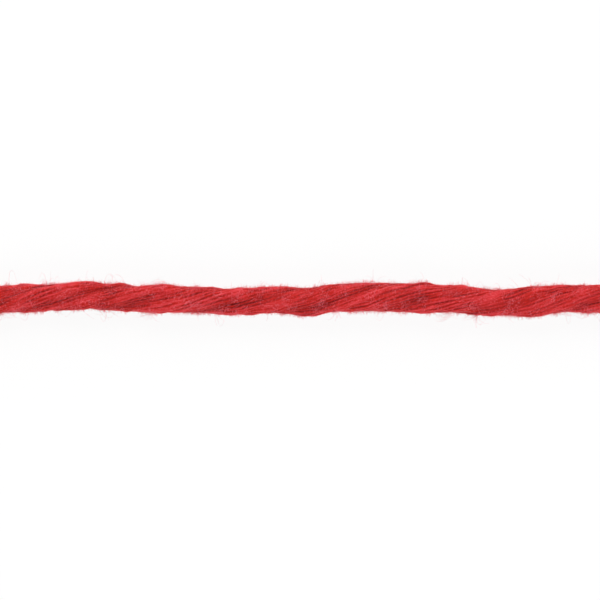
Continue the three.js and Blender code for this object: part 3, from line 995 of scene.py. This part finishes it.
def pick(piece, kind, test):
    # into edit mode with what passes the test selected, by place and, for faces, by normal
    if bpy.context.mode != "OBJECT":
        bpy.ops.object.mode_set(mode="OBJECT")
    bpy.context.tool_settings.mesh_select_mode = (kind == "VERT", False, kind == "FACE")
    mesh = piece.data
    for group in (mesh.vertices, mesh.edges, mesh.polygons):
        group.foreach_set("select", [False] * len(group))
    if kind == "VERT":
        for vertex in mesh.vertices:
            vertex.select = bool(test(vertex.co))
    else:
        for face in mesh.polygons:
            face.select = test(face.center, face.normal)
    bpy.ops.object.mode_set(mode="EDIT")


def modify(piece, kind, **settings):
    selectOnly(piece)
    modifier = piece.modifiers.new(kind.title(), kind)
    for name, value in settings.items():
        setattr(modifier, name, value)
    bpy.ops.object.modifier_apply(modifier=modifier.name)


def joinPieces(first, *others):
    selectOnly(first, *others)
    bpy.ops.object.join()
    return first


def cutAway(piece, *tools):
    for tool in tools:
        modify(piece, "BOOLEAN", operation="DIFFERENCE", solver="EXACT", object=tool)
        bpy.data.objects.remove(tool)


def drawOut(x, y=0, z=0):
    bpy.ops.mesh.extrude_region_move(TRANSFORM_OT_translate={"value": (x, y, z)})


def turnedPiece(name, profile, sides=64):
    # drawn out of a disc along X, one ring after another: profile is place and radius
    clearSelection()
    start, radius = profile[0]
    bpy.ops.mesh.primitive_circle_add(
        vertices=sides, radius=radius, fill_type="NGON", location=(start, 0, 0),
        rotation=(0, math.pi / 2, 0))
    piece = placeApplied()
    piece.name = name
    pick(piece, "FACE", lambda centre, normal: True)
    for (x0, r0), (x1, r1) in zip(profile, profile[1:]):
        drawOut(x1 - x0)
        bpy.ops.transform.resize(value=(1, r1 / r0, r1 / r0), center_override=(x1, 0, 0))
    finishMesh()
    return piece


def finishMesh():
    bpy.ops.mesh.select_all(action="SELECT")
    bpy.ops.mesh.remove_doubles(threshold=0.000001)
    bpy.ops.mesh.normals_make_consistent(inside=False)
    bpy.ops.object.mode_set(mode="OBJECT")


def finishMetal(piece, name, material, place, sharp=35):
    selectOnly(piece)
    piece.matrix_world = place
    placeApplied()
    bpy.ops.object.shade_smooth_by_angle(angle=math.radians(sharp))
    piece.name = name
    piece.data.name = name
    piece.data.materials.clear()
    piece.data.materials.append(material)
    return piece


clamp = {
    "wall": 0.0016,
    "waist": 0.00035,  # the band is drawn in a little between its rims
    "crimps": (-0.0105, 0.0, 0.0105),
    "crimpHalf": 0.0027,
    "crimpDepth": 0.0011,
    "rings": 44,
    "seam": 0.00035,
    "rim": 0.00045,
}


def ropeClampPiece(v):
    low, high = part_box("rope_clamp")
    length, tall = high[0] - low[0], (high[2] - low[2]) / 2
    half = (high[1] - low[1]) / 2 - tall
    clearSelection()
    bpy.ops.mesh.primitive_cylinder_add(
        vertices=72, radius=tall, depth=length, end_fill_type="NOTHING", rotation=(0, math.pi / 2, 0))
    band = placeApplied()
    for side in (1, -1):
        pick(band, "VERT", lambda co: co.y * side > 0.0001)
        bpy.ops.transform.translate(value=(0, side * half, 0))
    for place in (-v["seam"], v["seam"], -half * 0.5, half * 0.5):  # edges across the flats
        bpy.ops.mesh.select_all(action="SELECT")
        bpy.ops.mesh.bisect(plane_co=(0, place, 0), plane_no=(0, 1, 0))
    for place in np.linspace(-length / 2, length / 2, v["rings"] + 1)[1:-1]:
        bpy.ops.mesh.select_all(action="SELECT")
        bpy.ops.mesh.bisect(plane_co=(place, 0, 0), plane_no=(1, 0, 0))
    for place in np.linspace(-length / 2, length / 2, v["rings"] + 1)[1:-1]:
        drawn = v["waist"] * float(smoothStep((length / 2 - abs(place)) / 0.003))
        for crimp in v["crimps"]:
            near = abs(place - crimp) / v["crimpHalf"]
            if near < 1:
                drawn += v["crimpDepth"] * (0.5 + 0.5 * math.cos(math.pi * near))
        pick(band, "VERT", lambda co: abs(co.x - place) < 0.0001)
        bpy.ops.transform.resize(
            value=(1, 1 - drawn / (half + tall), 1 - drawn / tall), center_override=(place, 0, 0))
    pick(band, "FACE", lambda centre, normal: abs(centre.y) < v["seam"] and centre.z > 0)
    bpy.ops.mesh.delete(type="FACE")
    finishMesh()
    modify(band, "SOLIDIFY", thickness=v["wall"], offset=-1, use_even_offset=True)
    modify(band, "BEVEL", width=v["rim"], segments=3, limit_method="ANGLE", angle_limit=math.radians(50))
    modify(band, "SUBSURF", levels=1, render_levels=1)
    middle = (low + high) / 2
    finishMetal(band, "ropeClamp", zinc, Matrix.Translation(middle), sharp=60)
    declare(band, "rope", "clamp_plate", "rope_clamp")


ropeClampPiece(clamp)
print("clamp modelled")


# Every piece is drawn lying along X from the middle of its eye, its hook on the
# +Y side, and is then put where the frame has the swivel.
snapValues = {
    "eyeRadius": 0.01305,
    "eyeWire": 0.00275,
    "neck": ((0.0118, 0.0045), (0.0130, 0.0041), (0.0142, 0.0041)),
    "flange": (
        (0.01400, 0.0046), (0.01445, 0.0052), (0.0150, 0.0054), (0.0162, 0.0054), (0.0168, 0.0049)),
    "stem": 0.0026,
    "head": (0.021025, 0.023625, 0.0037),
    "barrel": (0.017425, 0.056925),
    "barrelRadius": 0.0065,
    "collar": 0.0034,
    "waist": 0.0004,
    "bore": 0.0040,
    "slotHalf": 0.0023,
    "studPlace": 0.051925,
    "travel": 0.013,
    "arch": (0.074925, 0.0145),
    "hookThickness": 0.0080,
    "hookWidth": 0.0070,
    "hookCorner": 0.0026,
    "archSteps": 32,
    "root": ((0.0623, 0.02755), (0.0530, 0.0222), (0.0446, 0.0126), (0.0376, 0.0046), (0.0330, 0.0012)),
    "rootSteps": 22,
    "rootSwell": 0.22,  # the casting thickens into the barrel
    "tip": 0.0744,
    "castVoxel": 0.00034,
    "castSoftness": 9,
    "boltRadius": 0.0036,
    "bolt": (0.042925, 0.074625),
    "studRadius": 0.0020,
    "studHead": 0.0036,
    "studTop": 0.0135,
    "knurls": 20,
    "springWire": 0.00035,
    "springRadius": 0.0033,
    "springTurns": 5,
    "spring": (0.025725, 0.042625),
}

joints = {joint["name"]: joint for joint in frame["joints"]}
swivelCentre = Vector(joints["hook_swivel"]["pos_m"])
swivelWay = Vector(joints["hook_swivel"]["axis"]).normalized()
hookSide = Vector((0, 1, 0))
snapPlace = Matrix.Translation(swivelCentre) @ Matrix(
    [swivelWay, hookSide, swivelWay.cross(hookSide)]).transposed().to_4x4()


def swivelEyePiece(v):
    clearSelection()
    bpy.ops.mesh.primitive_torus_add(
        major_segments=96, minor_segments=28, major_radius=v["eyeRadius"], minor_radius=v["eyeWire"],
        rotation=(math.pi / 2, 0, 0))
    ring = placeApplied()
    neck = turnedPiece("neck", v["neck"])
    flange = turnedPiece("flange", v["flange"])
    eye = joinPieces(ring, neck, flange)
    modify(eye, "REMESH", mode="VOXEL", voxel_size=v["castVoxel"])
    modify(eye, "SMOOTH", factor=0.5, iterations=v["castSoftness"])
    start, end, radius = v["head"]
    bevel = 0.0004
    stem = turnedPiece("stem", (
        (0.0155, v["stem"]), (start, v["stem"]), (start + 0.0001, radius - bevel),
        (start + bevel, radius), (end - bevel, radius), (end, radius - bevel)), 40)
    eye = joinPieces(eye, stem)
    finishMetal(eye, "swivelEye", nickel, snapPlace)
    declare(eye, "swivel", "nickel_plate", "swivel_eye")


def hookPiece(v):
    # a rounded bar: spun round the throat, then drawn back into the barrel
    centreX, radius = v["arch"]
    clearSelection()
    bpy.ops.mesh.primitive_plane_add(
        size=1, location=(centreX, 2 * radius, 0), rotation=(0, math.pi / 2, 0))
    piece = bpy.context.active_object
    piece.scale = (v["hookThickness"], v["hookWidth"], 1)
    placeApplied()
    pick(piece, "VERT", lambda co: True)
    bpy.ops.mesh.bevel(offset=v["hookCorner"], segments=5, affect="VERTICES")
    bpy.ops.mesh.select_all(action="SELECT")
    bpy.ops.mesh.spin(steps=v["archSteps"], angle=math.pi, center=(centreX, radius, 0), axis=(0, 0, 1))
    drawOut(v["tip"] - centreX)
    pick(piece, "FACE", lambda centre, normal: abs(normal.x) > 0.99 and centre.y > 1.5 * radius)
    archEnd = ((centreX + 0.012, 2 * radius), (centreX, 2 * radius))
    line = throughPoints([(x, y, 0) for x, y in archEnd + v["root"]], 12)
    along = placesAlong(line)
    start = along[int(np.argmin(np.abs(line[:, 0] - centreX)))]
    steps = np.linspace(start, along[-1], v["rootSteps"] + 1)
    heading = math.pi
    last = np.array([centreX, 2 * radius, 0])
    swell = 1.0
    for index, place in enumerate(steps[1:]):
        here = pointsAt(place, along, line)
        ahead = pointsAt(place + 0.0005, along, line) - pointsAt(place - 0.0005, along, line)
        way = math.atan2(ahead[1], ahead[0]) % math.tau
        drawOut(*(here - last))
        bpy.ops.transform.rotate(value=-(way - heading), orient_axis="Z", center_override=tuple(here))
        grown = 1 + v["rootSwell"] * float(smoothStep((index + 1) / v["rootSteps"]))
        bpy.ops.transform.resize(value=(grown / swell,) * 3, center_override=tuple(here))
        heading, last, swell = way, here, grown
    finishMesh()
    return piece


def slotCutter(v):
    # a round-ended block that the stud slides in
    clearSelection()
    bpy.ops.mesh.primitive_cylinder_add(
        vertices=40, radius=v["slotHalf"], depth=0.008, location=(v["studPlace"], -0.0055, 0),
        rotation=(math.pi / 2, 0, 0))
    cutter = placeApplied()
    pick(cutter, "VERT", lambda co: co.x < v["studPlace"] - 0.0001)
    bpy.ops.transform.translate(value=(-v["travel"], 0, 0))
    bpy.ops.object.mode_set(mode="OBJECT")
    return cutter


def snapBodyPiece(v):
    start, end = v["barrel"]
    radius, waist, collar = v["barrelRadius"], v["barrelRadius"] - v["waist"], v["collar"]
    barrel = turnedPiece("barrel", (
        (start, radius * 0.84), (start + 0.0004, radius * 0.94), (start + 0.0010, radius),
        (start + collar, radius), (start + collar + 0.0007, waist), (end - collar - 0.0007, waist),
        (end - collar, radius), (end - 0.0007, radius), (end, radius * 0.93)))
    body = joinPieces(barrel, hookPiece(v))
    modify(body, "REMESH", mode="VOXEL", voxel_size=v["castVoxel"])
    modify(body, "SMOOTH", factor=0.5, iterations=v["castSoftness"])
    bore = turnedPiece("bore", ((start - 0.002, v["bore"]), (end + 0.008, v["bore"])), 48)
    cutAway(body, bore, slotCutter(v))
    finishMetal(body, "snapBody", nickel, snapPlace)
    declare(body, "snap", "nickel_plate", "snap_body")


def snapBoltPiece(v):
    start, end = v["bolt"]
    r = v["boltRadius"]
    bolt = turnedPiece("bolt", (
        (start, r - 0.0005), (start + 0.0005, r), (end - 0.0032, r), (end - 0.0030, r - 0.00025),
        (end - 0.0026, r - 0.00025), (end - 0.0024, r), (end - 0.0008, r), (end - 0.00025, r - 0.0003),
        (end, r - 0.0009)), 56)
    finishMetal(bolt, "snapBolt", nickel, snapPlace)
    declare(bolt, "bolt", "nickel_plate", "snap_bolt")


def thumbStudPiece(v):
    # turned along X, then stood on the bolt's side
    base, top, shank, head = v["boltRadius"] - 0.0004, v["studTop"], v["studRadius"], v["studHead"]
    rim = top - 0.0030
    stud = turnedPiece("stud", (
        (base, shank), (rim - 0.0004, shank), (rim, shank + 0.0005), (rim + 0.0002, head - 0.0003),
        (rim + 0.0005, head), (top - 0.0010, head), (top - 0.0004, head - 0.0004), (top, head - 0.0013)),
        v["knurls"] * 4)
    pick(stud, "VERT", lambda co: rim + 0.0004 < co.x < top - 0.0009 and co.yz.length > head - 0.0001
         and round(math.atan2(co.z, co.y) / math.tau * v["knurls"] * 4) % 4 == 0)
    bpy.ops.transform.resize(value=(1, 0.92, 0.92), center_override=(rim, 0, 0))  # knurling
    finishMesh()
    stand = Matrix.Translation((v["studPlace"], 0, 0)) @ Matrix.Rotation(-math.pi / 2, 4, "Z")
    finishMetal(stud, "thumbStud", nickel, snapPlace @ stand)
    declare(stud, "bolt", "nickel_plate", "thumb_stud")


def boltSpringPiece(v):
    start, end = v["spring"]
    t = np.linspace(0, 1, v["springTurns"] * 28 + 1)
    angle = t * v["springTurns"] * math.tau
    line = np.column_stack([
        start + v["springWire"] + t * (end - start - 2 * v["springWire"]),
        v["springRadius"] * np.cos(angle), v["springRadius"] * np.sin(angle)])
    placed = np.array([snapPlace @ Vector(q) for q in line])
    coil = fibreMesh("boltSpring", placed[None], 2 * v["springWire"], spring, sides=10, endTaper=0.0)
    declare(coil, "snap", "spring_steel", "bolt_spring")
    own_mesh(coil)


swivelEyePiece(snapValues)
snapBodyPiece(snapValues)
snapBoltPiece(snapValues)
thumbStudPiece(snapValues)
boltSpringPiece(snapValues)
for node, finish in (("swivel_bushing", nickel), ("spring_seat", spring)):
    frame["nodes"][node].data.materials.clear()
    frame["nodes"][node].data.materials.append(finish)
print("snap modelled")


studio = {
    "floorSize": 6.0,
    "floorColour": "#f4f4f4",
    "plainWhite": 0.9,  # share of the floor that the camera sees as even white
    "fade": (0.6, 1.5),  # further from the middle than this the floor runs into the white behind it
    # each light's place from the middle of the view, and its power
    "lights": (("key", (-0.1, 1.25, 0.72), 28.0), ("fill", (0.2, -1.25, 0.50), 22.0)),
    "lightSize": 1.6,
    "skyStrength": 0.36,
}


def seenRays(tree):
    # 1 for what the camera sees, straight or in metal, 0 for the light that falls on the rope
    path = addNode(tree, "LightPath")
    mirrored = addNode(tree, "Math", {"operation": "MAXIMUM"}, links={
        0: path.outputs["Is Glossy Ray"], 1: path.outputs["Is Transmission Ray"]})
    seen = addNode(tree, "Math", {"operation": "MAXIMUM"}, links={
        0: path.outputs["Is Camera Ray"], 1: mirrored})
    return seen


def paleFloor(v):
    bpy.ops.mesh.primitive_plane_add(size=v["floorSize"], location=(0, 0, 0))
    floor = bpy.context.active_object
    floor.name = "floor"
    material, tree, shader, at = newMaterial("pale paper")
    setInputs(tree, shader, {
        "Base Color": toLinear(v["floorColour"]), "Roughness": 0.9, "Specular IOR Level": 0.1})
    fromMiddle = addNode(tree, "VectorMath", {"operation": "LENGTH"}, links={0: at})
    whiter = addNode(
        tree, "MapRange", {"interpolation_type": "SMOOTHSTEP"},
        {"From Min": v["fade"][0], "From Max": v["fade"][1], "To Min": v["plainWhite"], "To Max": 1.0},
        {"Value": fromMiddle.outputs["Value"]})
    share = addNode(tree, "Math", {"operation": "MULTIPLY"}, links={0: whiter, 1: seenRays(tree)})
    white = addNode(tree, "Emission", values={"Color": (1, 1, 1, 1), "Strength": 1.0})
    mixed = addNode(tree, "MixShader", links={0: share, 1: shader, 2: white})
    setInputs(tree, tree.nodes["Material Output"], links={"Surface": mixed})
    floor.data.materials.append(material)


def softLight(name, place, target, size, power):
    data = bpy.data.lights.new(name, "AREA")
    data.shape = "DISK"
    data.size = size
    data.energy = power
    lamp = bpy.data.objects.new(name, data)
    lamp.location = place
    lamp.rotation_euler = (Vector(target) - Vector(place)).to_track_quat("-Z", "Y").to_euler()
    bpy.context.collection.objects.link(lamp)


def evenSky(v):
    world = bpy.data.worlds.new("studio")
    bpy.context.scene.world = world
    world.use_nodes = True
    tree = world.node_tree
    background = tree.nodes["Background"]
    strength = addNode(tree, "MapRange", values={"To Min": v["skyStrength"], "To Max": 1.0},
                       links={"Value": seenRays(tree)})
    setInputs(tree, background, {"Color": (1, 1, 1, 1)}, {"Strength": strength})


paleFloor(studio)
evenSky(studio)
middle = (clampMouth + cameraValues["alongRun"], runY, 0)
for name, (x, y, z), power in studio["lights"]:
    softLight(name, (middle[0] + x, runY + y, z), middle, studio["lightSize"], power)
print("studio set")
